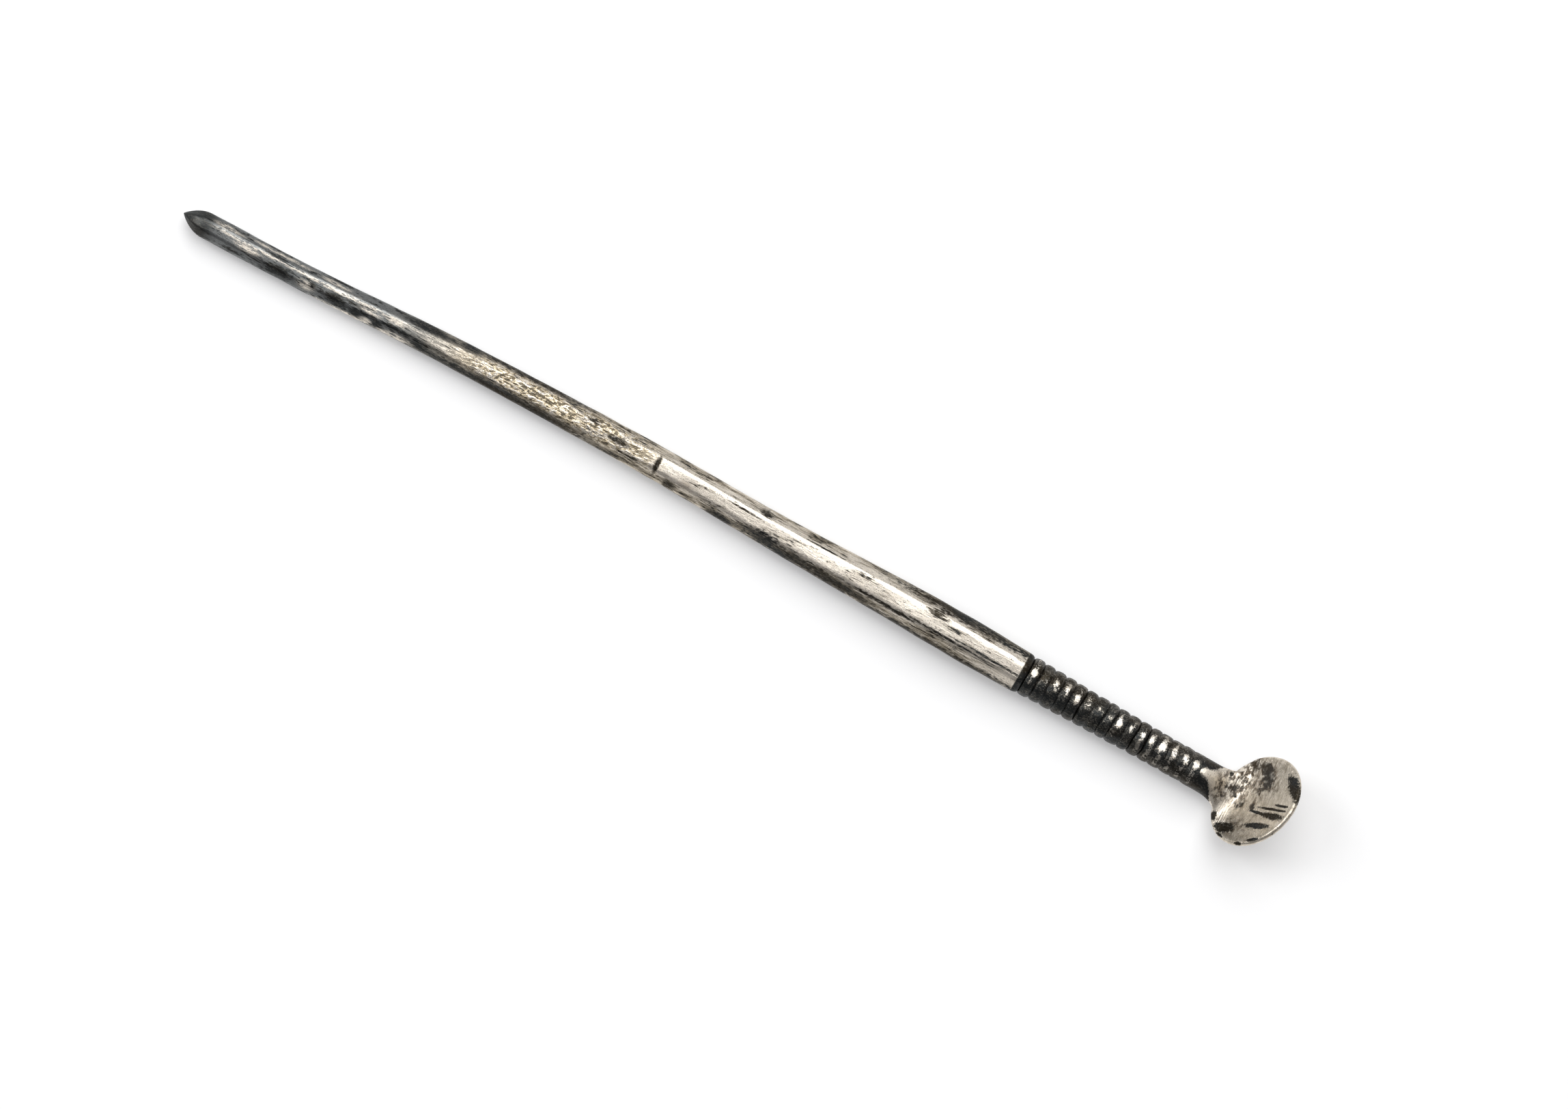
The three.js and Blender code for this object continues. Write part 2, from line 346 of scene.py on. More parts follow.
def hammered_silver(name):
    """The bar's finish. A place is in millimetres from the tip, then across the bar, -1 to 1."""
    material, nodes = new_finish(name)
    where = nodes.from_tip()
    along = nodes.part(where, "X")
    side = nodes.attribute("side")
    top = nodes.attribute("top")
    plan = nodes.add("ShaderNodeCombineXYZ", {"X": along, "Y": side, "Z": 0.0})
    cloud = nodes.cloud(where, 0.55, (4, 1, 1), detail=5.0)
    fine = nodes.cloud(where, 0.15, (2.4, 1, 1), detail=5.0, shift=(2, 5, 9))
    streaks = nodes.cloud(where, 0.055, (24, 1, 1), detail=3.0, shift=(4, 4, 4))
    ragged = nodes.total(
        nodes.swing(cloud, 1.2), nodes.swing(fine, 2.0), nodes.swing(streaks, 1.6)
    )

    dark_places = (
        ((8.0, -0.42), (1.1, 0.38)),
        ((10.65, -0.2), (0.35, 0.25)),
        ((12.4, -0.35), (0.75, 0.34)),
        ((14.2, -0.6), (0.45, 0.28)),
        ((15.9, -0.6), (0.45, 0.28)),
        ((17.5, -0.34), (1.6, 0.12)),
        ((19.3, -0.6), (0.7, 0.3)),
        ((19.4, 0.66), (1.9, 0.25)),
        ((22.8, 0.8), (0.8, 0.3)),
        ((27.6, 0.94), (4.6, 0.24)),
        ((26.8, -0.82), (6.2, 0.36)),
        ((32.9, 0.4), (0.5, 0.16)),
        ((35.1, 0.02), (1.0, 0.22)),
        ((39.7, -0.72), (0.5, 0.2)),
        ((44.0, -0.86), (1.1, 0.2)),
        ((45.4, 0.2), (1.3, 0.05)),
        ((46.9, 0.62), (0.6, 0.18)),
        ((47.5, -0.6), (1.4, 0.36)),
        ((51.6, 0.5), (1.6, 0.05)),
        ((51.0, -0.78), (5.2, 0.3)),
        ((56.9, -0.46), (3.3, 0.08)),
        ((61.0, 0.36), (0.8, 0.18)),
        ((62.2, -0.36), (3.4, 0.05)),
        ((65.6, -0.22), (3.2, 0.06)),
        ((63.2, 0.8), (5.6, 0.2)),
        ((61.5, -0.93), (7.0, 0.12)),
    )
    rubbed_and_highlight_places = (
        ((3.4, 0.6), (1.4, 0.16)),
        ((5.4, -0.1), (1.0, 0.26)),
        ((7.7, 0.72), (2.6, 0.1)),
        ((10.2, -0.4), (0.7, 0.34)),
        ((12.0, 0.66), (1.1, 0.14)),
        ((15.0, -0.1), (1.0, 0.2)),
        ((15.1, -0.75), (0.6, 0.18)),
        ((17.5, -0.8), (1.8, 0.16)),
        ((17.2, 0.05), (0.9, 0.18)),
        ((20.7, -0.08), (1.4, 0.22)),
        # A long bare line along the top: a painted highlight, where the softbox's reflection falls.
        ((11.0, 0.2), (9.5, 0.12)),
        ((13.4, -0.95), (2.6, 0.12)),
        # Bare flecks low on the lower edge: painted reflections of the white sheet.
        ((48.1, -0.93), (0.8, 0.05)),
        ((52.0, -0.93), (1.05, 0.06)),
        ((54.8, -0.93), (0.75, 0.06)),
        ((57.3, -0.95), (0.8, 0.03)),
        ((60.2, -0.95), (0.95, 0.05)),
    )
    placed = nodes.most(*(nodes.patch(plan, place, half, ragged) for place, half in dark_places))
    # Rubbed bare places, among them a painted highlight line and painted reflection flecks.
    rubbed_and_painted_highlights = nodes.most(*(nodes.patch(plan, place, half, ragged) for place, half in rubbed_and_highlight_places))
    worn_off = nodes.total(nodes.times(fine, 0.5), nodes.times(streaks, 0.5))
    rubbed_and_painted_highlights = nodes.times(rubbed_and_painted_highlights, nodes.rise(worn_off, 0.42, 0.54))
    nick = nodes.patch(plan, (NICK_PLACE, -0.1), (0.2, 0.62), nodes.swing(fine, 1.0), edge=0.4)
    stain = nodes.patch(plan, (40.8, -0.25), (0.45, 0.2), ragged, edge=0.7)

    first = nodes.rise(along, *FILMED_STRETCH)
    blunt = nodes.rise(along, *POINT_END)
    # The film thickens towards both flanks and the underside: partly tarnish, partly painted shade of
    # the bar's darker sides.
    off_middle = nodes.math("ABSOLUTE", nodes.total(side, -0.08))
    flank = nodes.rise(off_middle, 0.35, 0.85)
    under = nodes.rise(top, 0.1, -0.5)
    outside_rubbed_and_highlights = nodes.math("SUBTRACT", 1.0, rubbed_and_painted_highlights)
    film = nodes.total(
        nodes.times(cloud, 0.5),
        nodes.times(streaks, 0.5),
        nodes.times(flank, 0.14),
        nodes.times(first, 0.26),
        nodes.times(under, 0.12),
    )
    film = nodes.times(nodes.rise(film, 0.5, 0.68), outside_rubbed_and_highlights)
    speckled = nodes.total(
        nodes.times(cloud, 0.42),
        nodes.times(fine, 0.28),
        nodes.times(streaks, 0.3),
        nodes.times(flank, 0.035),
        nodes.times(first, 0.03),
    )
    general = nodes.times(nodes.rise(speckled, 0.525, 0.62), outside_rubbed_and_highlights)
    pits = nodes.cloud(where, 0.06, (1.5, 1, 1), detail=2.0, shift=(1, 7, 5))
    general = nodes.most(general, nodes.times(nodes.rise(pits, 0.6, 0.7), 0.85))

    start, full, fading, end = GOLDEN_STRETCH
    crinkled = nodes.times(nodes.rise(along, start, full), nodes.rise(along, end, fading))
    crinkled = nodes.times(crinkled, nodes.rise(off_middle, 0.85, 0.55))
    crinkle = nodes.cloud(where, 0.17, (2.4, 1, 1), detail=5.0, shift=(8, 1, 3), turn=-0.14)
    from_fold = nodes.math("ABSOLUTE", nodes.total(crinkle, -0.5))
    broken = nodes.rise(nodes.total(fine, nodes.swing(cloud, 0.8)), 0.46, 0.58)
    folds = nodes.times(nodes.times(nodes.rise(from_fold, 0.045, 0.0), crinkled), broken)
    low = nodes.total(crinkle, nodes.swing(cloud, 0.8), nodes.swing(fine, 0.5))
    hollows = nodes.times(nodes.rise(low, 0.455, 0.4), crinkled)
    golden = nodes.times(nodes.rise(low, 0.56, 0.47), crinkled)
    silver = nodes.blend(nodes.times(golden, 0.65), SILVER, GOLDEN_SILVER)

    through = nodes.rise(nodes.total(nodes.times(fine, 0.5), nodes.times(streaks, 0.5)), 0.6, 0.5)
    placed = nodes.times(placed, nodes.math("MULTIPLY_ADD", through, 0.3, 0.7))
    dark = nodes.most(
        general,
        placed,
        nick,
        nodes.times(folds, 0.85),
        nodes.times(hollows, 0.85),
        nodes.times(blunt, 0.85),
    )
    shoulder = (SHANK_END - TIP.x) / MM
    dark = nodes.most(dark, nodes.rise(along, shoulder - 0.08, shoulder + 0.02))
    relief = nodes.total(
        nodes.times(streaks, 0.3),
        nodes.times(fine, 0.35),
        nodes.times(nodes.times(crinkle, crinkled), 3.0),
        nodes.times(dark, -0.25),
    )
    finish_silver(nodes, silver, film, dark, nodes.times(stain, 0.5), relief)
    return material


shank.data.materials.append(hammered_silver("hammered_silver"))
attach(shank, "root")
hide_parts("shank")


# Point
# The free end of the bar, filed to a short blunt ogive. It is the same silver, dulled to a dark
# grey all round.

POINT_STEPS = 36
BLUNTNESS = 0.85
point_base = shank_axis(SHANK_START)
point_tip = Vector((TIP.x, TIP.y, point_base.z))
point_rings = []
for step in range(1, POINT_STEPS + 1):
    share = (step / POINT_STEPS) ** 1.4
    radius = point_base.z * math.sin(share**BLUNTNESS * math.pi / 2)
    middle = point_tip.lerp(point_base, share)
    point_rings.append(girth_ring(middle, radius, FLATNESS, worked=share))
point = closed_loft("blunt_point", point_rings, point_tip, point_base)
mark_girth(point.data, lambda x: Vector((x, point_tip.y, point_tip.z)))
point.data.materials.append(shank.data.materials[0])
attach(point, "root")
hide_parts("point")


# Ringed neck
# Sixteen rings cut round the bar behind the scoop, one beside the next, crisp near the shank and
# rubbed shallow near the scoop. The grooves hold black tarnish and the crests are worn; the worn
# patches sit where the highlight falls, partly a painted highlight, and the black has a painted
# sheen.

NECK_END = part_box("ringed_neck")[1].x
NECK_END_BOW = 0.02 * MM
NECK_RISE = 0.09 * MM
NECK_END_RADIUS = 1.24 * MM
CREST_SILVER = (0.85, 0.80, 0.72, 1)
WORN_RINGS = (76.5, 79.0)
LAST_RINGS = (81.0, 82.0)
neck_start = shank_tip_end + Vector((SHOULDER, 0, 0))
neck_end = Vector((NECK_END, TIP.y + NECK_END_BOW, shank_tip_end.z + NECK_RISE))


def ring_tree():
    """Geometry Nodes that turn a straight axis into a closed bar with a row of rounded rings."""
    tree = bpy.data.node_groups.new("neck_rings", "GeometryNodeTree")
    face = tree.interface
    face.new_socket("Geometry", in_out="INPUT", socket_type="NodeSocketGeometry")
    for name, kind in (
        ("Start", "NodeSocketVector"),
        ("End", "NodeSocketVector"),
        ("Rings", "NodeSocketInt"),
        ("Sharp rings", "NodeSocketInt"),
        ("Ring height", "NodeSocketFloat"),
        ("Worn height", "NodeSocketFloat"),
        ("Start radius", "NodeSocketFloat"),
        ("End radius", "NodeSocketFloat"),
        ("Ring squareness", "NodeSocketFloat"),
        ("Unevenness", "NodeSocketFloat"),
        ("Unevenness size", "NodeSocketFloat"),
        ("Pitch drift", "NodeSocketFloat"),
        ("Sway", "NodeSocketFloat"),
        ("Sway size", "NodeSocketFloat"),
        ("Steps in a ring", "NodeSocketInt"),
        ("Points round", "NodeSocketInt"),
        ("Finish", "NodeSocketMaterial"),
    ):
        face.new_socket(name, in_out="INPUT", socket_type=kind)
    face.new_socket("Geometry", in_out="OUTPUT", socket_type="NodeSocketGeometry")
    given = tree.nodes.new("NodeGroupInput").outputs
    nodes = Nodes(tree)
    calc = nodes.math

    def between(share, low, high):
        return calc("MULTIPLY_ADD", calc("SUBTRACT", high, low), share, low)

    straight = {"Start": given["Start"], "End": given["End"]}
    axis = nodes.add("GeometryNodeCurvePrimitiveLine", straight)
    count = calc("MULTIPLY_ADD", given["Rings"], given["Steps in a ring"], 1.0)
    axis = nodes.add("GeometryNodeResampleCurve", {"Curve": axis, "Count": count})
    share = nodes.add("GeometryNodeSplineParameter", {}, output="Factor")
    inner = calc("MULTIPLY", calc("MULTIPLY", share, calc("SUBTRACT", 1.0, share)), 4.0)
    place = calc("MULTIPLY", share, given["Rings"])
    drift = nodes.add(
        "ShaderNodeTexNoise", {"W": place, "Scale": 0.8, "Detail": 1.0}, noise_dimensions="1D"
    )
    drift = calc("MULTIPLY", calc("SUBTRACT", drift, 0.5), given["Pitch drift"])
    place = calc("MULTIPLY_ADD", drift, inner, place)
    in_ring = calc("FRACT", calc("ADD", place, 0.00001))
    from_crest = calc("ABSOLUTE", calc("MULTIPLY_ADD", in_ring, 2.0, -1.0))
    swell = calc("SUBTRACT", 1.0, calc("POWER", from_crest, given["Ring squareness"]))
    swell = calc("SQRT", calc("MAXIMUM", swell, 0.0))
    past_sharp = calc("SUBTRACT", place, given["Sharp rings"])
    worn = calc("DIVIDE", past_sharp, calc("SUBTRACT", given["Rings"], given["Sharp rings"]))
    worn = calc("MINIMUM", calc("MAXIMUM", worn, 0.0), 1.0)
    height = between(worn, given["Ring height"], given["Worn height"])
    taper = calc("POWER", calc("SUBTRACT", 1.0, share), 2.0)
    crest = between(taper, given["End radius"], given["Start radius"])
    groove = calc("MULTIPLY", height, calc("SUBTRACT", 1.0, swell))
    radius = calc("SUBTRACT", crest, groove)
    axis = nodes.add(
        "GeometryNodeStoreNamedAttribute",
        {"Geometry": axis, "Name": "crest", "Value": swell},
        data_type="FLOAT",
        domain="POINT",
    )
    axis = nodes.add(
        "GeometryNodeStoreNamedAttribute",
        {"Geometry": axis, "Name": "inner", "Value": inner},
        data_type="FLOAT",
        domain="POINT",
    )
    round_section = nodes.add(
        "GeometryNodeCurvePrimitiveCircle", {"Resolution": given["Points round"], "Radius": 1.0}
    )
    bar = nodes.add(
        "GeometryNodeCurveToMesh",
        {"Curve": axis, "Profile Curve": round_section, "Scale": radius, "Fill Caps": True},
    )
    position = nodes.add("GeometryNodeInputPosition", {})
    per_waver = calc("DIVIDE", 1.0, given["Unevenness size"])
    waver = nodes.add(
        "ShaderNodeTexNoise", {"Vector": position, "Scale": per_waver, "Detail": 3.0}
    )
    lift = calc("MULTIPLY", calc("SUBTRACT", waver, 0.5), given["Unevenness"])
    normal = nodes.add("GeometryNodeInputNormal", {})
    outward = nodes.add("ShaderNodeVectorMath", {0: normal, "Scale": lift}, operation="SCALE")
    per_sway = calc("DIVIDE", 1.0, given["Sway size"])
    sway = nodes.add("ShaderNodeTexNoise", {"Vector": position, "Scale": per_sway, "Detail": 1.0})
    inner_here = nodes.add("GeometryNodeInputNamedAttribute", {"Name": "inner"}, data_type="FLOAT")
    reach = calc("MULTIPLY", inner_here, given["Sway"])
    sway = calc("MULTIPLY", calc("SUBTRACT", sway, 0.5), reach)
    along = nodes.add("ShaderNodeCombineXYZ", {"X": sway})
    offset = nodes.add("ShaderNodeVectorMath", {0: outward, 1: along}, operation="ADD")
    bar = nodes.add("GeometryNodeSetPosition", {"Geometry": bar, "Offset": offset})
    bar = nodes.add("GeometryNodeSetShadeSmooth", {"Geometry": bar})
    bar = nodes.add("GeometryNodeRealizeInstances", {"Geometry": bar})
    bar = nodes.add("GeometryNodeSetMaterial", {"Geometry": bar, "Material": given["Finish"]})
    nodes.add("NodeGroupOutput", {"Geometry": bar})
    return tree


def ringed_silver(name):
    """The neck's finish: black in the grooves and round the flanks, worn bright on the crests. The
    bright crest patches sit where the highlight falls, partly a painted highlight, and soft lighter
    patches on the black are a painted sheen.
    """
    material, nodes = new_finish(name)
    where = nodes.from_tip()
    along = nodes.part(where, "X")
    side = nodes.attribute("side")
    top = nodes.attribute("top")
    crest = nodes.attribute("crest")
    blotch = nodes.cloud(where, 0.42, detail=5.0, shift=(1, 6, 2))
    fine = nodes.cloud(where, 0.1, detail=4.0, shift=(3, 3, 3))
    worn_end = nodes.rise(along, *WORN_RINGS)
    last = nodes.rise(along, *LAST_RINGS)
    luck = nodes.add(
        "ShaderNodeTexNoise", {"W": along, "Scale": 1.3, "Detail": 1.0}, noise_dimensions="1D"
    )
    luck = nodes.swing(luck, 1.1)
    reach = nodes.total(0.1, luck, nodes.times(worn_end, 0.16), nodes.times(last, -0.06))
    # Bare crest patches are centred at side +0.3, where the softbox's highlight falls: crest wear
    # that is partly a painted highlight.
    off_middle = nodes.math("ABSOLUTE", nodes.total(side, -0.3))
    worn_and_highlit_crests = nodes.total(
        nodes.math("SUBTRACT", reach, off_middle),
        nodes.swing(blotch, 1.5),
        nodes.swing(fine, 1.2),
        nodes.times(nodes.total(crest, -0.93), 2.2),
    )
    bright = nodes.times(nodes.rise(worn_and_highlit_crests, 0.0, 0.34), nodes.rise(top, 0.0, 0.3))
    low_side = nodes.times(nodes.rise(side, -0.95, -0.7), nodes.rise(side, 0.2, -0.1))
    ridges = nodes.times(nodes.rise(crest, 0.93, 0.995), nodes.times(worn_end, low_side))
    ridges = nodes.times(ridges, nodes.rise(nodes.total(blotch, nodes.swing(fine, 0.8)), 0.46, 0.6))
    # Soft lighter patches on the black, leaning to the upper side: a painted sheen.
    sheen = nodes.total(fine, nodes.swing(blotch, 0.8), nodes.times(side, 0.06))
    sheen = nodes.rise(sheen, 0.54, 0.7)
    bright = nodes.most(bright, nodes.times(ridges, 0.6), nodes.times(sheen, 0.22))
    dark = nodes.math("SUBTRACT", 1.0, bright)
    film = nodes.rise(nodes.total(blotch, nodes.swing(fine, 1.0)), 0.45, 0.65)
    relief = nodes.total(nodes.times(fine, 0.9), nodes.times(blotch, 1.6))
    finish_silver(nodes, CREST_SILVER, nodes.times(film, 0.6), dark, 0.0, relief)
    return material


def finished_mesh(piece):
    """The piece's mesh with its modifiers carried out."""
    evaluated = piece.evaluated_get(bpy.context.evaluated_depsgraph_get())
    return bpy.data.meshes.new_from_object(evaluated)


neck_maker = bpy.data.objects.new("neck_maker", bpy.data.meshes.new("neck_maker"))
bpy.context.scene.collection.objects.link(neck_maker)
rings = neck_maker.modifiers.new("rings", "NODES")
rings.node_group = ring_tree()
neck_sizes = {
    "Start": neck_start,
    "End": neck_end,
    "Rings": 16,
    "Sharp rings": 11,
    "Ring height": RING_HEIGHT,
    "Worn height": 0.03 * MM,
    "Start radius": NECK_START_RADIUS,
    "End radius": NECK_END_RADIUS,
    "Ring squareness": 2.6,
    "Unevenness": 0.13 * MM,
    "Unevenness size": 0.9 * MM,
    "Pitch drift": 0.4,
    "Sway": 0.35 * MM,
    "Sway size": 1.6 * MM,
    "Steps in a ring": 18,
    "Points round": 96,
    "Finish": ringed_silver("ringed_silver"),
}
for item in rings.node_group.interface.items_tree:
    if item.in_out == "INPUT" and item.name in neck_sizes:
        rings[item.identifier] = neck_sizes[item.name]
neck_mesh = finished_mesh(neck_maker)
neck_maker.modifiers.remove(rings)
bpy.data.objects.remove(neck_maker)
neck_mesh.set_sharp_from_angle(angle=math.radians(60))
neck_length = neck_end.x - neck_start.x
mark_girth(neck_mesh, lambda x: neck_start.lerp(neck_end, (x - neck_start.x) / neck_length))
ringed_neck = bpy.data.objects.new("ring_cut_neck", neck_mesh)
bpy.context.scene.collection.objects.link(ringed_neck)
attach(ringed_neck, "root")
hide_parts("ringed_neck")


# Scoop
# The end of the bar beaten out flat: a fan that spreads from the neck and turns up into a small
# tilted oval disc with a shallow dish. Its face is scratched silver with brown and black blotches.

DISC_CENTRE = neck_end + Vector((4.32, 0.21, 1.58)) * MM
DISC_TILT = math.radians(47)
DISC_TURN = math.radians(-8)
DISC_LONG = 7.5 * MM
DISC_SHORT = 6.65 * MM
DISC_LONG_BEARING = math.radians(60)
DISC_THICKNESS = 0.42 * MM
DISC_DISH = 0.35 * MM
DISC_LIP = 0.3 * MM
RIM_ROUND = 0.17 * MM
FAN_WIDTH = 5.0 * MM
FAN_SHIFT = -0.6 * MM
FAN_EDGE_THICKNESS = 0.2 * MM
FAN_REACH_UNDER_DISC = 0.6 * MM
FAN_PULL = 1.8 * MM
FAN_SPREAD = (0.0, 0.7)
FAN_THINNING = (-0.1, 0.75)
ACROSS = Vector((-math.sin(DISC_TURN), math.cos(DISC_TURN), 0))
FAR = Vector(
    (
        math.cos(DISC_TILT) * math.cos(DISC_TURN),
        math.cos(DISC_TILT) * math.sin(DISC_TURN),
        math.sin(DISC_TILT),
    )
)
FACING = FAR.cross(ACROSS)
DISH_STEPS = 12
RIM_STEPS = 4
FAN_STEPS = 40
FAN_START_IN_NECK = 0.4 * MM
SKIN_STEP = 0.055
SOFTEN_ROUNDS = 8
BEND_ROUNDS = 130
FACE_SILVER = (0.85, 0.775, 0.665, 1)
FACE_START = (85.3, 86.4)
CREASED = (84.9, 85.2, 85.7, 86.1)


def on_disc(far, across, height):
    return DISC_CENTRE + FAR * far + ACROSS * across + FACING * height


def rim_radius(angle):
    from_long = angle - DISC_LONG_BEARING
    long = DISC_LONG / 2
    short = DISC_SHORT / 2
    return long * short / math.hypot(short * math.cos(from_long), long * math.sin(from_long))


def disc_ring(inset, share, height):
    ring = []
    for i in range(GIRTH_POINTS * 2):
        angle = -math.pi * i / GIRTH_POINTS
        radius = (rim_radius(angle) - inset) * share
        ring.append(on_disc(radius * math.cos(angle), radius * math.sin(angle), height))
    return ring


def disc_piece():
    """A dished face inside a flat lip, a rounded rim and a back that swells as the face dips."""
    shares = [i / DISH_STEPS for i in range(1, DISH_STEPS)]
    turns = [math.pi / 2 * i / RIM_STEPS for i in range(RIM_STEPS + 1)]
    rings = [disc_ring(DISC_LIP, s, -DISC_DISH * (1 - s * s)) for s in shares]
    rings.append(disc_ring(DISC_LIP, 1, 0))
    for turn in turns:
        inset = RIM_ROUND * (1 - math.sin(turn))
        rings.append(disc_ring(inset, 1, -RIM_ROUND * (1 - math.cos(turn))))
    for turn in turns:
        inset = RIM_ROUND * (1 - math.cos(turn))
        height = RIM_ROUND * (1 - math.sin(turn)) - DISC_THICKNESS
        rings.append(disc_ring(inset, 1, height))
    for s in reversed(shares):
        rings.append(disc_ring(DISC_LIP, s, -DISC_THICKNESS - DISC_DISH * (1 - s * s)))
    middle = on_disc(0, 0, -DISC_DISH)
    return closed_loft("disc", rings, middle, on_disc(0, 0, -DISC_DISH - DISC_THICKNESS))


def bezier(points, share):
    a, b, c, d = points
    rest = 1 - share
    return a * rest**3 + b * (3 * rest**2 * share) + c * (3 * rest * share**2) + d * share**3


def fan_piece():
    """The neck's round end flattens and widens along a path that turns up into the disc."""
    end = on_disc(-FAN_REACH_UNDER_DISC, FAN_SHIFT, -DISC_DISH - DISC_THICKNESS / 2)
    path = (neck_end, neck_end + Vector((FAN_PULL, 0, 0)), end - FAR * FAN_PULL, end)
    spread_start, spread_end = FAN_SPREAD
    rings = []
    for i in range(FAN_STEPS + 1):
        share = i / FAN_STEPS
        ahead = bezier(path, min(share + 0.01, 1)) - bezier(path, max(share - 0.01, 0))
        ahead.normalize()
        side = Vector((0, 1, 0)).lerp(ACROSS, share)
        side = (side - ahead * side.dot(ahead)).normalized()
        up = ahead.cross(side)
        spread = min(max((share - spread_start) / (spread_end - spread_start), 0), 1) ** 3
        thinning = smooth_between(share, *FAN_THINNING)
        half_width = NECK_END_RADIUS + (FAN_WIDTH / 2 - NECK_END_RADIUS) * spread
        half_height = NECK_END_RADIUS + (FAN_EDGE_THICKNESS / 2 - NECK_END_RADIUS) * thinning
        middle = bezier(path, share)
        ring = []
        for j in range(GIRTH_POINTS):
            angle = 2 * math.pi * j / GIRTH_POINTS
            across = side * (half_width * math.cos(angle))
            ring.append(middle + across + up * (half_height * math.sin(angle)))
        rings.append(ring)
    back = Vector((-FAN_START_IN_NECK, 0, 0))
    rings.insert(0, [point + back for point in rings[0]])
    return closed_loft("fan", rings, neck_end + back, end)


def bend_share(place):
    """How much of the smoothing of the bend between fan and face a place in metres gets."""
    away = place - DISC_CENTRE
    far = away.dot(FAR)
    across = away.dot(ACROSS)
    inside = rim_radius(math.atan2(across, far)) - math.hypot(far, across)
    near_half = 1 - smooth_between(far / MM, -1.2, -0.3)
    past_neck = smooth_between((place.x - TIP.x) / MM, 83.0, 84.0)
    clear_of_rim = smooth_between(inside / MM, 0.3, 0.7)
    in_fan = 1 - smooth_between(abs(across) / MM, 1.9, 2.6)
    return near_half * past_neck * max(clear_of_rim, in_fan)


def fused_scoop():
    """Disc and fan made one skin, worked in millimetres because a remesh has a smallest step."""
    disc = disc_piece()
    fan = fan_piece()
    bm = bmesh.new()
    bm.from_mesh(disc.data)
    bm.from_mesh(fan.data)
    bmesh.ops.scale(bm, vec=(1 / MM,) * 3, verts=bm.verts)
    mesh = bpy.data.meshes.new("scoop")
    bm.to_mesh(mesh)
    bm.free()
    bpy.data.objects.remove(disc)
    bpy.data.objects.remove(fan)
    maker = bpy.data.objects.new("scoop_maker", mesh)
    bpy.context.scene.collection.objects.link(maker)
    skin = maker.modifiers.new("skin", "REMESH")
    skin.mode = "VOXEL"
    skin.voxel_size = SKIN_STEP
    maker.data = finished_mesh(maker)
    maker.modifiers.clear()
    bend = maker.vertex_groups.new(name="bend")
    for vertex in maker.data.vertices:
        share = bend_share(vertex.co * MM)
        if share > 0:
            bend.add([vertex.index], share, "REPLACE")
    soften = maker.modifiers.new("soften", "SMOOTH")
    soften.factor = 0.5
    soften.iterations = SOFTEN_ROUNDS
    turn_up = maker.modifiers.new("turn_up", "SMOOTH")
    turn_up.factor = 0.5
    turn_up.iterations = BEND_ROUNDS
    turn_up.vertex_group = "bend"
    whole = finished_mesh(maker)
    bpy.data.objects.remove(maker)
    for vertex in whole.vertices:
        vertex.co *= MM
    for polygon in whole.polygons:
        polygon.use_smooth = True
    made = bpy.data.objects.new("dished_scoop", whole)
    bpy.context.scene.collection.objects.link(made)
    return made


scoop = fused_scoop()


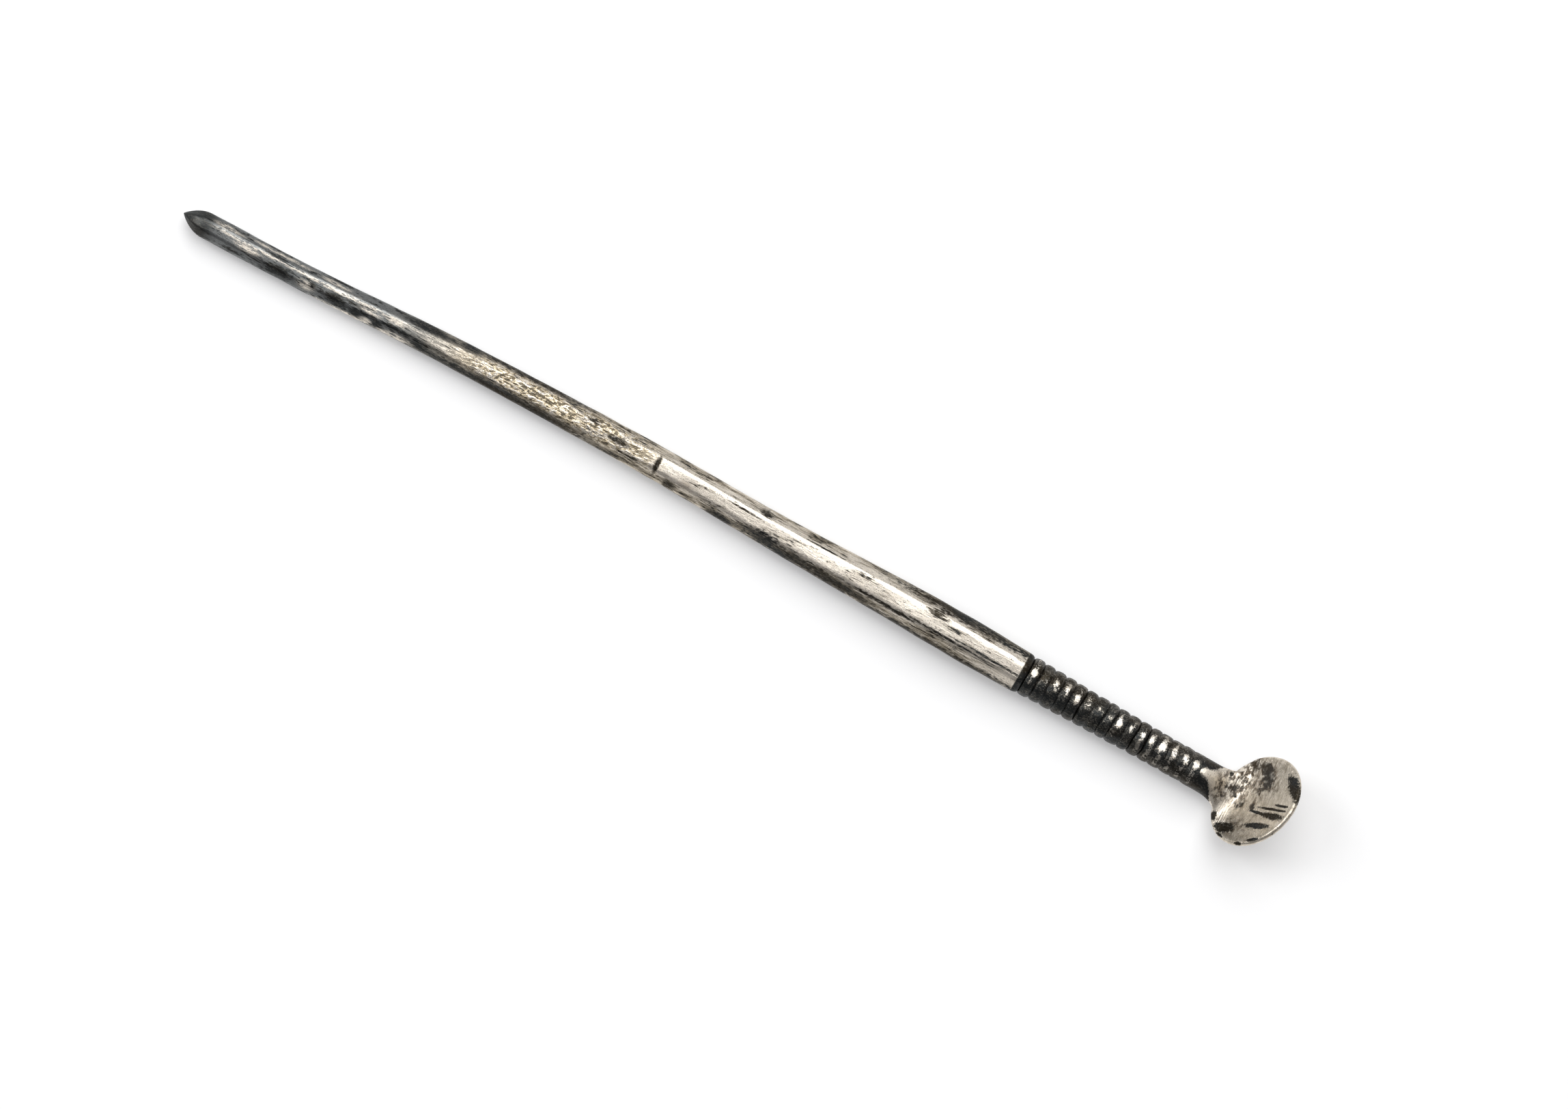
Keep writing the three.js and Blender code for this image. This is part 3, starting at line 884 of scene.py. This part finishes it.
def beaten_silver(name):
    """The scoop's finish. A place is in millimetres from the tip, as seen from above."""
    material, nodes = new_finish(name)
    where = nodes.from_tip()
    on_plan = nodes.add("ShaderNodeVectorMath", {0: where, 1: (1, 1, 0)}, operation="MULTIPLY")
    along = nodes.part(where, "X")
    facing = nodes.add("ShaderNodeTexCoord", {}, output="Normal")
    open_side = nodes.rise(nodes.part(facing, "Z"), 0.1, 0.3)
    cloud = nodes.cloud(where, 0.7, detail=5.0, shift=(5, 2, 7))
    fine = nodes.cloud(where, 0.1, (1, 1.5, 1), detail=4.0, shift=(9, 5, 1))
    mottle = nodes.cloud(where, 0.3, (1, 1.4, 1), detail=4.0, shift=(3, 9, 4))
    scratches = nodes.cloud(where, 0.035, (1, 26, 4), detail=3.0, turn=math.radians(-6))
    creases = nodes.cloud(where, 0.08, (1, 20, 6), detail=3.0, shift=(2, 2, 2))
    ragged = nodes.total(
        nodes.swing(cloud, 0.8), nodes.swing(fine, 1.3), nodes.swing(scratches, 0.3)
    )

    dark_places = (
        ((89.0, 2.25), (1.0, 0.42), -49),
        ((88.6, 2.75), (0.36, 0.26), -18),
        ((88.72, 0.77), (0.42, 0.1), 22),
        ((88.3, 0.25), (0.9, 0.1), 22),
        ((88.5, -0.18), (0.66, 0.24), 24),
        ((87.7, -0.42), (0.6, 0.11), 12),
        ((87.88, -1.31), (0.86, 0.2), 29),
        ((86.1, -2.49), (0.72, 0.38), 30),
        ((85.12, -2.13), (0.4, 0.22), -88),
        ((87.34, -3.04), (0.26, 0.14), 22),
        ((88.06, -2.31), (0.48, 0.12), 40),
        ((86.03, -3.12), (0.24, 0.1), -13),
        ((85.82, -0.21), (0.1, 0.1), 0),
        ((84.82, 1.12), (0.16, 0.16), 0),
    )
    speckled_places = (
        ((87.05, 1.7), (1.4, 0.42), -88, 0.125),
        ((87.05, 2.4), (0.6, 0.35), -60, 0.1),
        ((86.14, 2.6), (0.6, 0.5), 30, 0.14),
        ((87.65, 1.8), (0.4, 0.5), 0, 0.09),
        ((85.9, 0.9), (1.7, 0.6), -88, 0.125),
        ((84.7, 0.0), (0.7, 1.4), 0, 0.12),
        ((87.2, -0.36), (0.42, 0.26), -58, 0.12),
        ((86.4, -0.48), (0.46, 0.16), -98, 0.13),
        ((86.3, -2.3), (1.1, 0.6), 30, 0.1),
    )
    placed = [
        nodes.patch(on_plan, place, half, ragged, edge=0.22, turn=math.radians(turn))
        for place, half, turn in dark_places
    ]
    cover = nodes.total(
        *(
            nodes.times(
                nodes.patch(on_plan, place, half, ragged, edge=0.8, turn=math.radians(turn)), amount
            )
            for place, half, turn, amount in speckled_places
        )
    )
    speckle = nodes.total(
        nodes.times(fine, 0.45), nodes.times(mottle, 0.3), nodes.times(scratches, 0.25), cover
    )
    speckle = nodes.rise(speckle, 0.575, 0.67)

    bright_middle = nodes.total(0.25, nodes.times(nodes.rise(along, 83.4, 85.2), -0.45))
    bright_reach = nodes.total(
        -0.25,
        nodes.times(nodes.rise(along, 82.0, 83.2), 0.55),
        nodes.times(nodes.rise(along, 83.2, 85.2), 1.8),
    )
    off_bright = nodes.math("SUBTRACT", nodes.part(where, "Y"), bright_middle)
    off_bright = nodes.math("ABSOLUTE", off_bright)
    neck_black = nodes.math("SUBTRACT", off_bright, bright_reach)
    neck_black = nodes.rise(nodes.total(neck_black, nodes.times(ragged, 0.35)), -0.1, 0.12)
    neck_black = nodes.times(neck_black, nodes.rise(along, 85.2, 84.6))
    below = nodes.times(nodes.rise(along, 85.0, 83.5), nodes.math("SUBTRACT", 1.0, open_side))
    dark = nodes.times(nodes.most(*placed), open_side)
    dark = nodes.most(dark, nodes.times(speckle, 0.85), neck_black, below)

    start, full, fading, end = CREASED
    at_bend = nodes.times(nodes.rise(along, start, full), nodes.rise(along, end, fading))
    face = nodes.rise(along, *FACE_START)
    film = nodes.total(
        nodes.times(face, 0.62),
        nodes.swing(cloud, 0.5),
        nodes.swing(mottle, 0.7),
        nodes.swing(scratches, 1.1),
        nodes.times(at_bend, nodes.swing(creases, 3.0)),
        -0.1,
    )
    brown = nodes.times(cover, nodes.rise(mottle, 0.4, 0.6))
    relief = nodes.total(
        nodes.times(scratches, 0.5),
        nodes.times(fine, 0.4),
        nodes.times(cloud, 0.8),
        nodes.times(nodes.times(at_bend, creases), 2.5),
        nodes.times(dark, -0.25),
    )
    film = nodes.rise(film, 0.0, 1.0)
    finish_silver(nodes, FACE_SILVER, film, dark, nodes.times(brown, 7.0), relief)
    return material


scoop.data.materials.append(beaten_silver("beaten_silver"))
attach(scoop, "root")
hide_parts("scoop")


# Ground
# A white sheet that the spoon lies on. What the camera and the silver see of it is lifted to white,
# and its soft shadow stays.

REACH = 3.0
SHEET_LIFT = 0.22
ground_mesh = bpy.data.meshes.new("ground")
ground_mesh.from_pydata(
    [(-REACH, -REACH, 0), (REACH, -REACH, 0), (REACH, REACH, 0), (-REACH, REACH, 0)],
    [],
    [(0, 1, 2, 3)],
)
ground = bpy.data.objects.new("ground", ground_mesh)
bpy.context.scene.collection.objects.link(ground)
white_sheet, sheet = new_finish("white_sheet")
ray = sheet.tree.nodes.new("ShaderNodeLightPath").outputs
seen = sheet.most(ray["Is Camera Ray"], ray["Is Glossy Ray"], ray["Is Transmission Ray"])
paper = sheet.add("ShaderNodeBsdfDiffuse", {"Color": (0.8, 0.8, 0.8, 1)})
strength = sheet.times(seen, SHEET_LIFT)
lift = sheet.add("ShaderNodeEmission", {"Color": (1, 1, 1, 1), "Strength": strength})
both = sheet.add("ShaderNodeAddShader", {0: paper, 1: lift})
sheet.add("ShaderNodeOutputMaterial", {"Surface": both})
ground_mesh.materials.append(white_sheet)


# Light
# One wide softbox above, leaning towards the shank's bowed side, a smaller one towards the point
# that lights the fan, and a dim even world round them.

for name, place, width, power in (
    ("softbox", (-0.05, 0.46, 0.70), 0.85, 6.2),
    ("side_softbox", (-0.60, 0.05, 0.58), 0.4, 2.2),
):
    lamp_data = bpy.data.lights.new(name, "AREA")
    lamp_data.shape = "SQUARE"
    lamp_data.size = width
    lamp_data.energy = power
    lamp = bpy.data.objects.new(name, lamp_data)
    lamp.location = place
    lamp.rotation_euler = (-lamp.location).to_track_quat("-Z", "Y").to_euler()
    bpy.context.scene.collection.objects.link(lamp)
world = bpy.data.worlds.new("studio")
world.use_nodes = True
world.node_tree.nodes["Background"].inputs["Color"].default_value = (0.29, 0.29, 0.298, 1)
bpy.context.scene.world = world


# Camera
# It looks straight down on the spoon, turned so that the point is at the upper left.

SENSOR = 36.0
FOCAL = 120.0
DISTANCE = 372.8 * MM
SHARP_HEIGHT = 1.5 * MM
SEEN_MIDDLE = Vector((49.33, -0.64, 0)) * MM
camera_data = bpy.data.cameras.new("camera")
camera_data.lens = FOCAL
camera_data.sensor_width = SENSOR
camera_data.clip_start = 0.01
camera_data.clip_end = 20
camera = bpy.data.objects.new("camera", camera_data)
camera.location = TIP + SEEN_MIDDLE + Vector((0, 0, DISTANCE + SHARP_HEIGHT))
camera.rotation_euler = (0, 0, math.radians(28.9))
bpy.context.scene.collection.objects.link(camera)
bpy.context.scene.camera = camera
bpy.context.scene.view_settings.view_transform = "Standard"
